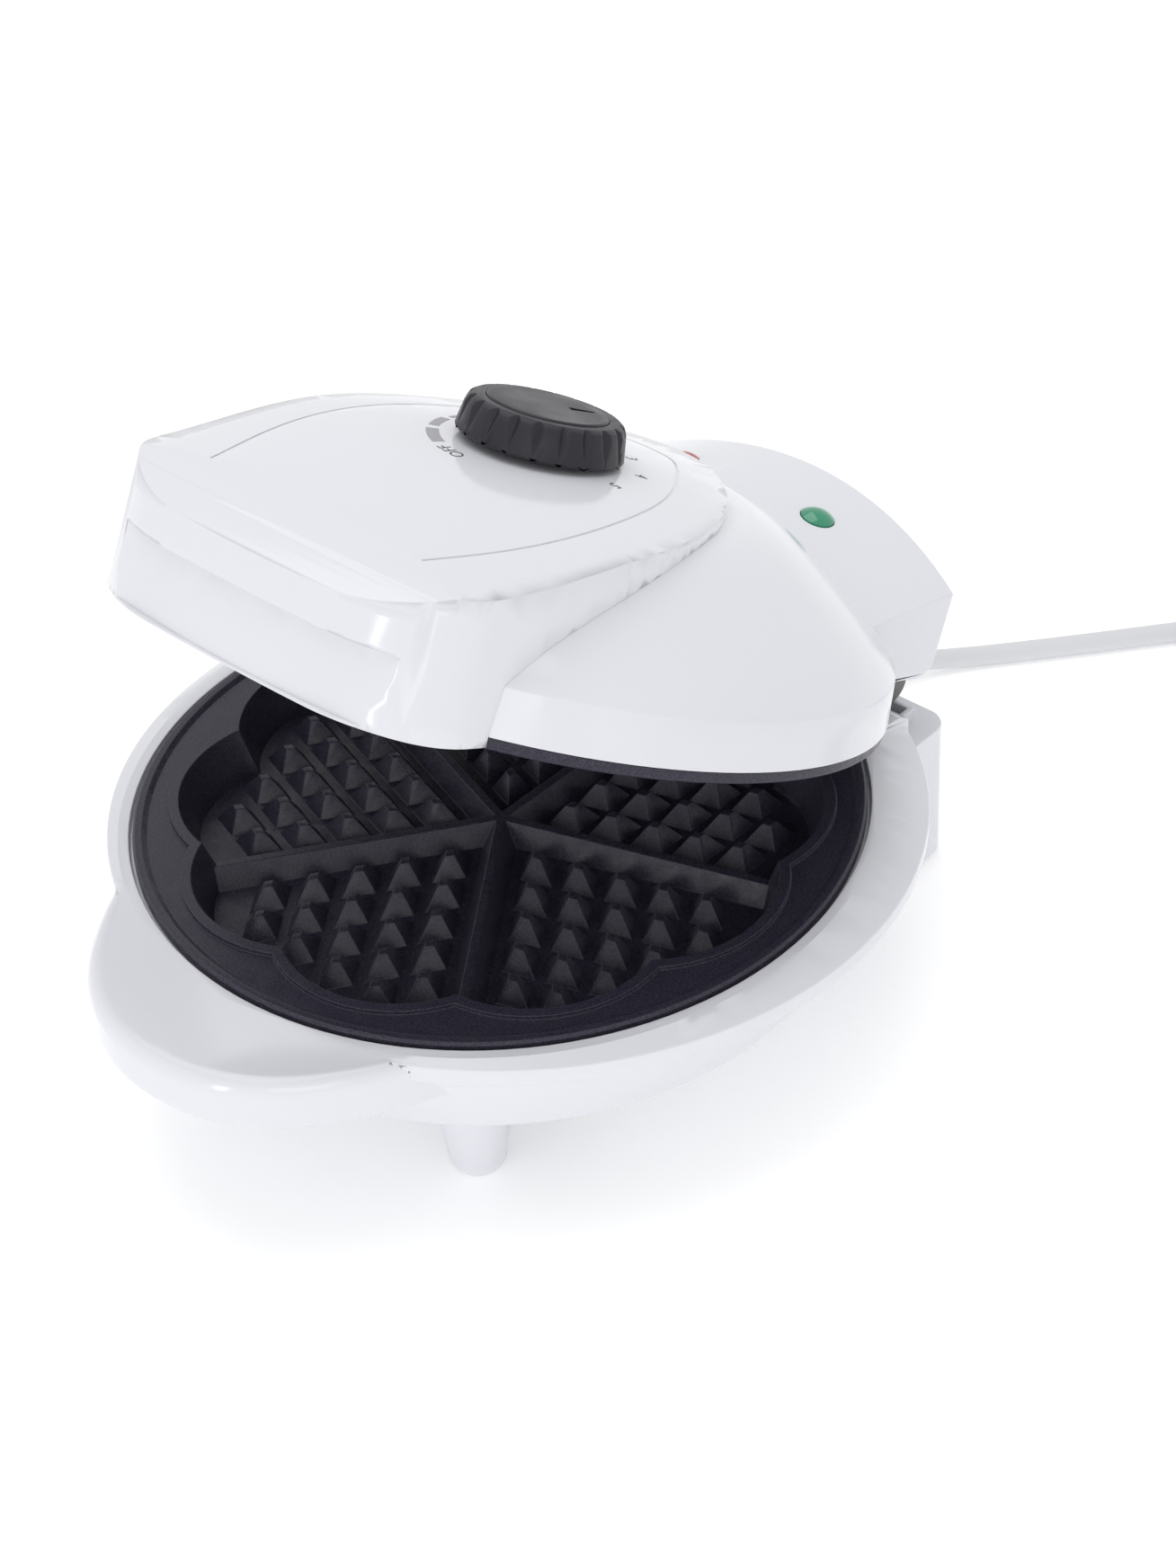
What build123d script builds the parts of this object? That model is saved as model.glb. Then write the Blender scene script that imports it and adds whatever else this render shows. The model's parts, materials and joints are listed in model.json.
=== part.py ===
"""Heart waffle maker: a hinged pair of cast waffle plates in moulded white housings.

Millimetres, +Z up, the table at Z = 0, the front lobe toward -Y and the hinge toward +Y.
The lid stands open by rest_angle about the hinge, and its pieces are drawn on planes that open with it.
"""
import os
from math import asin, atan, atan2, cos, degrees, pi, radians, sin, sqrt, tan

from build123d import *

os.makedirs("parts", exist_ok=True)

# Whole object
plate_height = 60.0
plate_radius = 100.0
rest_angle = 24.9
wall = 2.5
seam = 0.1
running_gap = 0.05
hinge_y = plate_radius + 10.5
hinge_drop = 4.0

# Waffle plates
hearts = 5
heart_margin = 11.3
lobe_radius = plate_radius - heart_margin
cusp_radius = lobe_radius - 7.2
well_depth = 14.0
well_draft = 17.0
ridge_drop = 8.0
ridge_top_half = 1.2
ridge_base_half = 4.6
pyramid_pitch = 12.4
pyramid_rows = 5
pyramid_reach = 7
rim_width = 2.6
rim_depth = 3.2
channel_drop = 1.2
web_thickness = 2.5
bead_width = 3.0
tray_wall = 3.0
tray_depth = 17.0
tray_draft = 12.0
boss_circle = 36.0
screw_count = 3
boss_radius = 4.6
boss_length = 7.0
screw_radius = 2.0
screw_head_radius = 3.8
screw_head_height = 2.2
element_ring = 64.0
element_radius = 3.25
element_gap_angle = 30.0
element_bend = 8.0
element_tail = 3.0
reflector_radius = 80.0
reflector_thickness = 0.6
reflector_lip = 4.5

# Lower housing
lip_drop = 1.0
lip_inner_radius = plate_radius + 1.0
lip_outer_radius = lip_inner_radius + 3.0
flange_slope = 0.5
flange_thickness = 3.0
flange_width = 8.5
flange_radius = lip_outer_radius + flange_width
flange_centre_y = 7.0
seat_width = 3.2
seat_radius = plate_radius - seat_width
bowl_shoulder_radius = lip_outer_radius + 0.6
bowl_bottom_radius = bowl_shoulder_radius - 9.6
bowl_bottom = 33.0
lobe_front_y = plate_radius + 30.6
lobe_half_width = 60.0
lobe_top_drop = 1.6
lobe_thickness = 13.9
lobe_round = 4.5
block_half_width = 65.0
block_front_y = hinge_y - 30.5
block_rear_y = hinge_y + 7.3
block_top_drop = 13.6
block_bottom = 58.5
block_corner = 7.0
deck_half_width = 61.5
deck_rear_y = hinge_y - 8.0
trough_half_width = 54.2
trough_front_y = hinge_y - 8.7
trough_rear_y = hinge_y + 0.5
trough_wall = 1.8
trough_top_drop = 10.6
trough_floor_drop = 24.0

# Base cover, legs and feet
cover_thickness = 2.5
leg_x = 49.0
leg_y = -65.0
leg_top_radius = 10.5
leg_bottom_radius = 7.2
leg_round = 5.0
buffer_x = 56.0
buffer_y = -47.0
buffer_radius = 6.5
buffer_height = 3.5
foot_radius = 7.0
foot_x = 46.0
foot_y = hinge_y - 6.0
foot_recess = 1.0

# Inside the base
cover_screw_radius = 1.5
cover_screw_head_radius = 2.9
cover_screw_head = 1.5
column_x = 50.0
column_y = hinge_y - 19.0
column_radius = 4.0
column_bore = 12.0
fuse_y = -20.0
fuse_length = 12.0
fuse_radius = 2.2
terminal_y = hinge_y - 14.5
terminal_depth = 14.0
terminal_height = 13.0
terminal_pitch = 8.5
clamp_y = hinge_y - 2.5
clamp_width = 5.0
link_radius = 2.5
link_bend_x = 14.0
link_foot_y = hinge_y - 4.5

# Hinge
pin_radius = 2.0
pin_length = 20.0
pin_head_radius = 3.4
pin_head_length = 1.5
lug_inner_x = 28.0
lug_outer_x = 38.0
knuckle_inner_x = 38.6
knuckle_outer_x = 50.0
knuckle_radius = 6.0
arm_start_y = hinge_y - 16.5

# Lid housing
dome_radius = plate_radius + 0.5
dome_edge = 3.3
dome_shoulder = 16.0
dome_crown = 46.2
hump_half_width = 62.0
hump_edge_height = 29.0
hump_crown_height = 46.0
hump_rear_y = hinge_y + 0.5
hump_corner_y = hinge_y - 3.0
hump_slope = 0.205
hump_front_y = hinge_y - 65.5
hump_cover_height = 4.6
tray_floor_height = 29.0
tray_margin = 5.0

# Cap with its visor
cap_half_width = 62.5
visor_half_width = 60.0
cap_rear_y = 50.0
cap_rear_round = 30.0
cap_flank_end_y = -42.0
visor_front_y = -plate_radius - 9.5
visor_bottom = 0.8
cap_draft = 2.0
cap_sections = (
    (-112, 36.6, 34.5),
    (-84, 41.6, 37.0),
    (-56, 47.4, 42.3),
    (-28, 51.6, 46.8),
    (0, 53.1, 47.6),
    (28, 52.3, 47.0),
    (56, 50.2, 45.8),
)
scoop_start_y = -84.0
scoop_height = 41.2
scoop_slope = 0.3
scoop_front_height = 28.5
grip_top = 20.0
grip_half_width = 47.6
grip_depth = 2.2
grip_draft = 7.0
panel_line = ((36.5, -89.5), (42.6, -68.7), (45.9, -44), (43.3, -21), (33.8, 3.9), (16.6, 27), (0, 34))
panel_line_width = 0.8
panel_line_depth = 0.4

# Knob and thermostat
knob_y = -10.9
knob_base = 53.5
knob_radius = 22.4
knob_top_radius = 20.5
knob_top = 63.4
flutes = 20
inlay_radius = 16.2
inlay_thickness = 1.2
inlay_rise = 0.5
knob_shoulder_radius = 21.3
knob_shoulder_drop = 2.6
flute_depth = 1.4
flute_half_angle = 52.0
pointer_angle = 60.0
pointer_start = 6.0
pointer_end = 13.0
pointer_start_width = 2.4
pointer_end_width = 1.0
pointer_depth = 0.7
shaft_radius = 3.0
shaft_grip = 7.0
thermostat_radius = 15.0
thermostat_height = 9.0
bushing_radius = 5.5
bushing_length = 6.0

# Lamps
lamp_x = 25.0
lamp_y = hinge_y - 23.5
lens_radius = 4.8
lens_rise = 2.2
lens_stem = 7.0
sleeve_radius = 6.2
sleeve_start = 2.9
sleeve_length = 12.0
bulb_radius = 2.8
bulb_length = 7.0

# Mains lead
cord_radius = 3.2
cord_exit_height = 12.5
relief_length = 26.0
relief_radius = 5.2
relief_neck_radius = 5.4
relief_flange = 2.0
coil_pitch = 7.0
coil_layer = 7.0
coil_outer_radius = 35.0
coil_turns = 2.25
coil_climb = 0.5
tail_lead = 13.0
plug_run = 17.0
plug_face_radius = 19.0
plug_body_length = 38.0
plug_relief_length = 24.0
plug_neck_radius = 7.5
plug_grip_radius = 12.5
plug_rim = 5.0
plug_pin_root = 8.0
plug_pin_radius = 2.4
plug_pin_length = 19.0
plug_pin_spacing = 19.0

# Values worked out from the sizes above
hinge_z = plate_height - hinge_drop
half_heart = 180 / hearts
web_drop = channel_drop + web_thickness
boss_end = tray_depth + boss_length
reflector_end = boss_end + reflector_thickness
cover_inside = bowl_bottom - cover_thickness
lower_screw_seat = cover_inside - 1.0


def section(plane):
    """The upright plane through a plane's X axis, with that plane's normal as its second axis."""
    return Plane(plane.origin, x_dir=plane.x_dir, z_dir=-plane.y_dir)


def profile(plane):
    """The upright plane through a plane's Y axis, for outlines seen from the side."""
    return Plane(plane.origin, x_dir=plane.y_dir, z_dir=plane.x_dir)


def spindle(plane):
    """The axis that stands on a plane at its origin."""
    return Axis(plane.origin, plane.z_dir)


def polar(radius, angle):
    """A point at an angle from the front of a plate, turning toward +X."""
    return (radius * sin(radians(angle)), -radius * cos(radians(angle)))


# The parting plane of the base, the same plane on the open lid, and the lid plate's own face
deck = Plane.XY.offset(plate_height)
lid_open = Pos(0, hinge_y, hinge_z) * Rot(-rest_angle, 0, 0) * Pos(0, -hinge_y, -hinge_z)


def on_lid(plane):
    """A plane of the closed lid, carried to the open pose."""
    return Plane(lid_open * plane.location)


lid = on_lid(deck)
lid_face = Plane(lid.origin, x_dir=-lid.x_dir, z_dir=-lid.z_dir)

# Each lamp stands square to the arched rear cover
arch_radius = (hump_half_width**2 + (hump_crown_height - hump_edge_height) ** 2) / (
    2 * (hump_crown_height - hump_edge_height)
)
lamp_height = (
    hump_crown_height
    - hump_slope * (hump_rear_y - lamp_y)
    - arch_radius
    + sqrt(arch_radius**2 - lamp_x**2)
)
lamp_planes = [
    on_lid(
        Plane(
            (x, lamp_y, plate_height + lamp_height),
            x_dir=(1, 0, -x / arch_radius),
            z_dir=(x / arch_radius, -hump_slope, 1),
        )
    )
    for x in (-lamp_x, lamp_x)
]


# The rosette of five hearts, drawn once about the plate's middle
with BuildSketch() as rosette:
    with BuildLine():
        for lobe in range(2 * hearts):
            start = lobe * half_heart
            ThreePointArc(
                polar(cusp_radius, start),
                polar(lobe_radius, start + half_heart / 2),
                polar(cusp_radius, start + half_heart),
            )
    make_face()

# One heart's pyramids stand on a lattice along the two ridges beside the heart
pyramid_height = well_depth - ridge_drop
pyramid_draft = degrees(atan((ridge_base_half - ridge_top_half) / pyramid_height))
lattice_angle = radians(2 * half_heart)
rhombus_edge = ridge_base_half / sin(lattice_angle)


def lattice(i, j):
    """A lattice point i steps along the right ridge and j steps along the left one."""
    right = polar(i, half_heart)
    left = polar(j, -half_heart)
    return (right[0] + left[0], right[1] + left[1])


pyramid_places = [
    tuple(pyramid_pitch * value for value in lattice(i, j))
    for i in range(1, pyramid_rows + 1)
    for j in range(1, pyramid_rows + 1)
    if i + j <= pyramid_reach
]

with BuildPart() as pyramids:
    with BuildSketch(Plane.XY.offset(-well_depth)):
        with Locations(*pyramid_places):
            corners = [lattice(a, b) for a, b in ((1, 1), (1, -1), (-1, -1), (-1, 1))]
            Polygon(*[(rhombus_edge * x, rhombus_edge * y) for x, y in corners], align=None)
    extrude(amount=pyramid_height, taper=pyramid_draft)

with BuildPart() as ridge:
    with BuildSketch(Plane.XZ):
        with BuildLine():
            Polyline(
                (-ridge_base_half, -well_depth),
                (ridge_base_half, -well_depth),
                (ridge_top_half, -ridge_drop),
                (-ridge_top_half, -ridge_drop),
                close=True,
            )
        make_face()
    extrude(amount=lobe_radius)

# The hollow that a plate's hearts leave
with BuildPart() as wells:
    extrude(to_extrude=rosette.sketch, amount=well_depth, dir=(0, 0, -1), taper=well_draft)
    with PolarLocations(0, hearts, start_angle=half_heart):
        add(ridge.part, mode=Mode.SUBTRACT)
    with PolarLocations(0, hearts):
        add(pyramids.part, mode=Mode.SUBTRACT)

# Tubular heating element: an open ring whose ends bend away and pass the reflector
element_drop = tray_depth + 1.4
tail_points = []
with BuildPart() as heater:
    with BuildLine() as path:
        ring_start = 90 + element_gap_angle / 2
        ring = CenterArc((0, 0, -element_drop), element_ring, ring_start, 360 - element_gap_angle)
        for end, way in ((ring @ 0, -(ring % 0)), (ring @ 1, ring % 1)):
            bend = TangentArc(end, end + element_bend * (way - Vector(0, 0, 1)), tangent=way)
            Line(bend @ 1, bend @ 1 - Vector(0, 0, element_tail))
            tail_points.append(((bend @ 1).X, (bend @ 1).Y))
    with BuildSketch(Plane(path.wire() @ 0, z_dir=path.wire() % 0)):
        Circle(element_radius)
    sweep()

for side, face in (("lower", deck), ("upper", lid_face)):
    # Cast plate: rim, channel, bead round the hearts, and the tray that holds the wells
    with BuildPart(face) as plate:
        with BuildSketch(section(face)):
            with BuildLine():
                Polyline(
                    (0, -web_drop),
                    (0, -channel_drop),
                    (plate_radius - rim_width - 1.2, -channel_drop),
                    (plate_radius - rim_width, 0),
                    (plate_radius - 0.7, 0),
                    (plate_radius, -0.7),
                    (plate_radius, -rim_depth),
                    (seat_radius - 0.6, -rim_depth),
                    (seat_radius - 0.6, -web_drop),
                    close=True,
                )
            make_face()
        revolve(axis=spindle(face))
        with BuildSketch(face.offset(-channel_drop)):
            add(rosette.sketch)
            offset(amount=tray_wall, kind=Kind.INTERSECTION, mode=Mode.REPLACE)
        extrude(amount=tray_depth - channel_drop, dir=-face.z_dir, taper=tray_draft)
        with BuildSketch(face.offset(-channel_drop)):
            add(rosette.sketch)
            offset(amount=bead_width, kind=Kind.INTERSECTION, mode=Mode.REPLACE)
        extrude(amount=channel_drop)
        with Locations((0, 0, 0)):
            add(wells.part, mode=Mode.SUBTRACT)
        with BuildSketch(face.offset(-tray_depth + 1)):
            with PolarLocations(boss_circle, screw_count, start_angle=90):
                Circle(boss_radius)
        extrude(amount=-boss_length - 1)
        with BuildSketch(face.offset(-boss_end)):
            with PolarLocations(boss_circle, screw_count, start_angle=90):
                Circle(screw_radius + running_gap)
        extrude(amount=boss_length + 1, mode=Mode.SUBTRACT)
        with BuildSketch(section(face)):
            with Locations((element_ring, -element_drop)):
                Circle(element_radius + seam)
        revolve(axis=spindle(face), mode=Mode.SUBTRACT)
    plate.part.label = f"{side}_plate"
    export_step(plate.part, f"parts/{side}_plate.step")

    with BuildPart(face) as element:
        add(heater.part)
    element.part.label = f"{side}_element"
    export_step(element.part, f"parts/{side}_element.step")

    # Bright sheet reflector behind the element, with a turned-up lip
    with BuildPart(face) as reflector:
        with BuildSketch(section(face)):
            with BuildLine():
                Polyline(
                    (0, -boss_end),
                    (reflector_radius - 2, -boss_end),
                    (reflector_radius, -boss_end + reflector_lip),
                    (reflector_radius + reflector_thickness, -boss_end + reflector_lip),
                    (reflector_radius - 2 + reflector_thickness, -reflector_end),
                    (0, -reflector_end),
                    close=True,
                )
            make_face()
        revolve(axis=spindle(face))
        with BuildSketch(face.offset(-reflector_end)):
            with PolarLocations(boss_circle, screw_count, start_angle=90):
                Circle(screw_radius + 0.4)
            with Locations(*tail_points):
                Circle(element_radius + 1.2)
            if side == "upper":
                with Locations((0, knob_y)):
                    Circle(thermostat_radius + 2)
        extrude(amount=2 * reflector_thickness, mode=Mode.SUBTRACT)
    reflector.part.label = f"{side}_reflector"
    export_step(reflector.part, f"parts/{side}_reflector.step")

    # Long screws clamp the housing, the reflector and the plate together
    screw_seat = tray_floor_height if side == "upper" else lower_screw_seat
    with BuildPart(face) as screws:
        with BuildSketch(face.offset(-screw_seat)):
            with PolarLocations(boss_circle, screw_count, start_angle=90):
                Circle(screw_radius)
        extrude(amount=screw_seat - tray_depth)
        with BuildSketch(face.offset(-screw_seat)):
            with PolarLocations(boss_circle, screw_count, start_angle=90):
                Circle(screw_head_radius)
        extrude(amount=-screw_head_height)
    screws.part.label = f"{side}_plate_screws"
    export_step(screws.part, f"parts/{side}_plate_screws.step")



def lobe_form(inset, top, thickness):
    """The front lobe's outline, drawn in by inset, as a block under a given height."""
    with BuildPart() as form:
        with BuildSketch(deck.offset(-top)):
            with BuildLine():
                front = ThreePointArc(
                    (0, -lobe_front_y),
                    (lobe_half_width * 0.35, -lobe_front_y + 4.0),
                    (lobe_half_width * 0.7, -lobe_front_y + 19.3),
                )
                flank = TangentArc(front @ 1, (lobe_half_width, -lobe_front_y + 49), tangent=front % 1)
                inner = Line(flank @ 1, flank @ 1 + 20 * (flank % 1))
                Line(inner @ 1, (0, (inner @ 1).Y))
                mirror(about=Plane.YZ)
            make_face()
            if inset:
                offset(amount=-inset, kind=Kind.INTERSECTION, mode=Mode.REPLACE)
        extrude(amount=-thickness)
    return form


def block_form(inset, top, bottom):
    """The rear hinge block's plan, drawn in by inset, between two drops below the parting plane."""
    with BuildPart() as form:
        with BuildSketch(deck.offset(-top)):
            with Locations((0, (block_front_y + block_rear_y) / 2)):
                RectangleRounded(
                    2 * (block_half_width - inset),
                    block_rear_y - block_front_y - 2 * inset,
                    block_corner - inset,
                )
        extrude(amount=top - bottom)
    return form


with BuildPart() as lobe_skin:
    add(lobe_form(0, lobe_top_drop, lobe_thickness).part)
    fillet(edges().group_by(Axis.Z)[-1].sort_by(Axis.Y)[:-1], lobe_round)

with BuildPart() as lower_housing:
    # Bowl with the sloping flange, cut to the housing's round outline
    flange_reach = flange_radius + flange_centre_y
    flange_edge_drop = lip_drop + flange_slope * (flange_reach - lip_outer_radius)
    bowl_waist = 0.6 * bowl_bottom
    bowl_waist_radius = bowl_shoulder_radius - 4.5
    with BuildSketch(section(deck)):
        with BuildLine():
            Polyline(
                (0, -lip_drop),
                (lip_outer_radius, -lip_drop),
                (flange_reach, -flange_edge_drop),
                (flange_reach, -flange_edge_drop - flange_thickness),
                (bowl_shoulder_radius, -lip_drop - 2 * flange_thickness),
                (bowl_waist_radius, -bowl_waist),
                (bowl_bottom_radius, -bowl_bottom),
                (0, -bowl_bottom),
                close=True,
            )
        make_face()
    revolve(axis=spindle(deck))
    with BuildSketch(deck):
        with Locations((0, flange_centre_y)):
            Circle(flange_radius)
    extrude(amount=-bowl_bottom, mode=Mode.INTERSECT)

    # Front lobe, hollow and open below
    add(lobe_skin.part)

    # Rear hinge block and the deck that joins it to the bowl, in place of the flange there
    with BuildSketch(deck):
        with Locations((0, (block_front_y + flange_reach) / 2)):
            Rectangle(2 * deck_half_width, flange_reach - block_front_y)
    extrude(amount=-block_top_drop, mode=Mode.SUBTRACT)
    add(block_form(0, block_top_drop, block_bottom).part)
    with BuildSketch(profile(deck)):
        with BuildLine():
            Polyline(
                (block_front_y - 20, -lip_drop),
                (block_front_y + 6, -lip_drop - 0.6),
                (deck_rear_y - 4, -lip_drop - 2.5),
                (deck_rear_y, -lip_drop - 5),
                (deck_rear_y, -block_top_drop - 1),
                (block_front_y - 20, -block_top_drop - 1),
                close=True,
            )
        make_face()
    extrude(amount=deck_half_width, both=True)
    trough_centre_y = (trough_front_y + trough_rear_y) / 2
    trough_length = trough_rear_y - trough_front_y
    with BuildSketch(deck.offset(-trough_top_drop)):
        with Locations((0, trough_centre_y)):
            Rectangle(2 * (trough_half_width + trough_wall), trough_length + 2 * trough_wall)
    extrude(amount=trough_top_drop - block_top_drop - 1)

    # Hollow the lobe from below, up to the bowl's wall
    with BuildPart(mode=Mode.PRIVATE) as lobe_void:
        add(lobe_form(wall, lobe_top_drop + wall, lobe_thickness - wall).part)
        with BuildSketch(deck):
            Circle(bowl_shoulder_radius)
        extrude(amount=-bowl_bottom, mode=Mode.SUBTRACT)
    add(lobe_void.part, mode=Mode.SUBTRACT)

    # Hollow the bowl and the block
    with BuildSketch(section(deck)):
        with BuildLine():
            Polyline(
                (0, 0),
                (lip_inner_radius, 0),
                (lip_inner_radius, -rim_depth - seam),
                (seat_radius, -rim_depth - seam),
                (bowl_waist_radius - wall, -bowl_waist),
                (bowl_bottom_radius - wall, -bowl_bottom),
                (0, -bowl_bottom),
                close=True,
            )
        make_face()
    revolve(axis=spindle(deck), mode=Mode.SUBTRACT)
    block_void = block_form(wall, block_top_drop + wall, block_bottom).part
    with BuildPart(mode=Mode.PRIVATE) as trough_shell:
        with BuildSketch(deck.offset(-block_top_drop)):
            with Locations((0, trough_centre_y)):
                Rectangle(2 * (trough_half_width + trough_wall), trough_length + 2 * trough_wall)
        extrude(amount=block_top_drop - trough_floor_drop - trough_wall)
    add(block_void - trough_shell.part, mode=Mode.SUBTRACT)
    with BuildSketch(deck.offset(-trough_top_drop)):
        with Locations((0, trough_centre_y)):
            Rectangle(2 * trough_half_width, trough_length)
    extrude(amount=trough_top_drop - trough_floor_drop, mode=Mode.SUBTRACT)

    # Two hinge lugs stand in the trough, bored for the pins
    for lug_x in (lug_inner_x, -lug_outer_x):
        with BuildSketch(profile(deck).offset(lug_x)):
            with Locations((hinge_y, -hinge_drop)):
                Circle(knuckle_radius)
            with Locations((hinge_y, -(hinge_drop + trough_floor_drop) / 2)):
                Rectangle(2 * knuckle_radius, trough_floor_drop - hinge_drop)
        extrude(amount=lug_outer_x - lug_inner_x)
    with BuildSketch(profile(deck)):
        with Locations((hinge_y, -hinge_drop)):
            Circle(pin_radius + running_gap)
    extrude(amount=block_half_width, both=True, mode=Mode.SUBTRACT)

    # Hole for the link lead, columns for the block's cover, and the way out for the mains lead
    with BuildSketch(deck.offset(-trough_floor_drop)):
        with Locations((-link_bend_x, link_foot_y)):
            Circle(link_radius + 0.6)
    extrude(amount=-2 * trough_wall, mode=Mode.SUBTRACT)
    with BuildSketch(deck.offset(-block_top_drop - 1)):
        with Locations((-column_x, column_y), (column_x, column_y)):
            Circle(column_radius)
    extrude(amount=block_top_drop + 1 + cover_thickness - block_bottom + seam)
    with BuildSketch(deck.offset(cover_thickness - block_bottom)):
        with Locations((-column_x, column_y), (column_x, column_y)):
            Circle(cover_screw_radius + running_gap)
    extrude(amount=column_bore, mode=Mode.SUBTRACT)
    with BuildSketch(section(Plane((0, block_rear_y, plate_height)))):
        with Locations((0, cord_exit_height - plate_height)):
            Circle(relief_neck_radius + seam)
    extrude(amount=2 * wall, mode=Mode.SUBTRACT)
lower_housing.part.label = "lower_housing"
export_step(lower_housing.part, "parts/lower_housing.step")

# Underside cover with its two hollow legs and the pillars under the reflector
with BuildPart() as base_cover:
    with BuildSketch(deck.offset(-bowl_bottom)):
        Circle(bowl_bottom_radius - wall - seam)
    extrude(amount=cover_thickness)
    with BuildSketch(deck.offset(-cover_inside)):
        with PolarLocations(boss_circle, screw_count, start_angle=90):
            Circle(boss_radius + 0.6)
    extrude(amount=cover_inside - reflector_end - seam)
    with BuildSketch(deck.offset(-bowl_bottom)):
        with PolarLocations(boss_circle, screw_count, start_angle=90):
            Circle(screw_radius + 0.3)
    extrude(amount=bowl_bottom - reflector_end, mode=Mode.SUBTRACT)
    with BuildSketch(deck.offset(-bowl_bottom)):
        with PolarLocations(boss_circle, screw_count, start_angle=90):
            Circle(screw_head_radius + 0.3)
    extrude(amount=bowl_bottom - lower_screw_seat, mode=Mode.SUBTRACT)
    for x in (-leg_x, leg_x):
        stand = Plane((x, leg_y, plate_height))
        with BuildSketch(section(stand)):
            with BuildLine():
                Polyline(
                    (0, -plate_height),
                    (leg_bottom_radius, -plate_height),
                    (leg_top_radius, -bowl_bottom + 0.5),
                    (0, -bowl_bottom + 0.5),
                    close=True,
                )
            make_face()
            fillet(vertices().group_by(Axis.Y)[0].sort_by(Axis.X)[-1], leg_round)
        revolve(axis=spindle(stand))
        with BuildSketch(section(stand)):
            with BuildLine():
                Polyline(
                    (0, -plate_height + 3 * wall),
                    (leg_bottom_radius - wall, -plate_height + 3 * wall),
                    (leg_top_radius - wall, -cover_inside),
                    (0, -cover_inside),
                    close=True,
                )
            make_face()
        revolve(axis=spindle(stand), mode=Mode.SUBTRACT)
base_cover.part.label = "base_cover"
export_step(base_cover.part, "parts/base_cover.step")

# Soft buffers beside the legs
with BuildPart() as front_buffers:
    with BuildSketch(deck.offset(-bowl_bottom)):
        with Locations((-buffer_x, buffer_y), (buffer_x, buffer_y)):
            Circle(buffer_radius)
    extrude(amount=-buffer_height)
    chamfer(edges().group_by(Axis.Z)[0], 0.8)
front_buffers.part.label = "front_buffers"
export_step(front_buffers.part, "parts/front_buffers.step")

# Cover that closes the hinge block from below
with BuildPart() as block_cover:
    add(block_form(wall + seam, block_bottom - cover_thickness, block_bottom).part)
    with BuildSketch(deck.offset(-block_bottom)):
        with Locations((-column_x, column_y), (column_x, column_y)):
            Circle(cover_screw_radius + 0.2)
    extrude(amount=cover_thickness, mode=Mode.SUBTRACT)
    with BuildSketch(deck.offset(-block_bottom)):
        with Locations((-column_x, column_y), (column_x, column_y)):
            Circle(cover_screw_head_radius + 0.2)
    extrude(amount=cover_screw_head, mode=Mode.SUBTRACT)
    with BuildSketch(deck.offset(-block_bottom)):
        with Locations((-foot_x, foot_y), (foot_x, foot_y)):
            Circle(foot_radius + seam)
    extrude(amount=foot_recess, mode=Mode.SUBTRACT)
block_cover.part.label = "block_cover"
export_step(block_cover.part, "parts/block_cover.step")

with BuildPart() as cover_screws:
    with BuildSketch(deck.offset(-block_bottom + cover_screw_head)):
        with Locations((-column_x, column_y), (column_x, column_y)):
            Circle(cover_screw_radius)
    extrude(amount=column_bore)
    with BuildSketch(deck.offset(-block_bottom + cover_screw_head)):
        with Locations((-column_x, column_y), (column_x, column_y)):
            Circle(cover_screw_head_radius)
    extrude(amount=-cover_screw_head)
cover_screws.part.label = "cover_screws"
export_step(cover_screws.part, "parts/cover_screws.step")

with BuildPart() as rear_feet:
    with BuildSketch(deck.offset(-plate_height)):
        with Locations((-foot_x, foot_y), (foot_x, foot_y)):
            Circle(foot_radius)
    extrude(amount=plate_height - block_bottom + foot_recess)
    chamfer(edges().group_by(Axis.Z)[0], 0.6)
rear_feet.part.label = "rear_feet"
export_step(rear_feet.part, "parts/rear_feet.step")

# Steel hinge pins, headed inside the lugs
with BuildPart() as hinge_pins:
    for direction in (-1, 1):
        start = Plane((direction * lug_inner_x, hinge_y, hinge_z), z_dir=(direction, 0, 0))
        with BuildSketch(start):
            Circle(pin_radius)
        extrude(amount=pin_length)
        with BuildSketch(start):
            Circle(pin_head_radius)
        extrude(amount=-pin_head_length)
hinge_pins.part.label = "hinge_pins"
export_step(hinge_pins.part, "parts/hinge_pins.step")

# Thermal fuse, clipped under the lower reflector
with BuildPart() as thermal_fuse:
    with BuildSketch(deck.offset(-reflector_end)):
        with Locations((0, fuse_y)):
            Rectangle(fuse_length + 8, 6)
    extrude(amount=-reflector_thickness)
    with BuildSketch(Plane((-fuse_length / 2, fuse_y, plate_height - reflector_end - fuse_radius), z_dir=(1, 0, 0))):
        Circle(fuse_radius)
    extrude(amount=fuse_length)
thermal_fuse.part.label = "thermal_fuse"
export_step(thermal_fuse.part, "parts/thermal_fuse.step")

# Terminal block and cord clamp, standing on the block's cover
cover_top = plate_height - block_bottom + cover_thickness
with BuildPart() as terminal_block:
    with BuildSketch(Plane.XY.offset(cover_top)):
        with Locations((0, terminal_y)):
            Rectangle(3 * terminal_pitch, terminal_depth)
    extrude(amount=terminal_height)
    chamfer(edges().filter_by(Axis.X).group_by(Axis.Z)[-1], 2)
    with BuildSketch(Plane.XY.offset(cover_top + terminal_height)):
        with Locations((0, terminal_y)):
            with GridLocations(terminal_pitch, 1, 3, 1):
                Circle(terminal_pitch / 3.2)
    extrude(amount=-terminal_height / 2, mode=Mode.SUBTRACT)
terminal_block.part.label = "terminal_block"
export_step(terminal_block.part, "parts/terminal_block.step")

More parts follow.
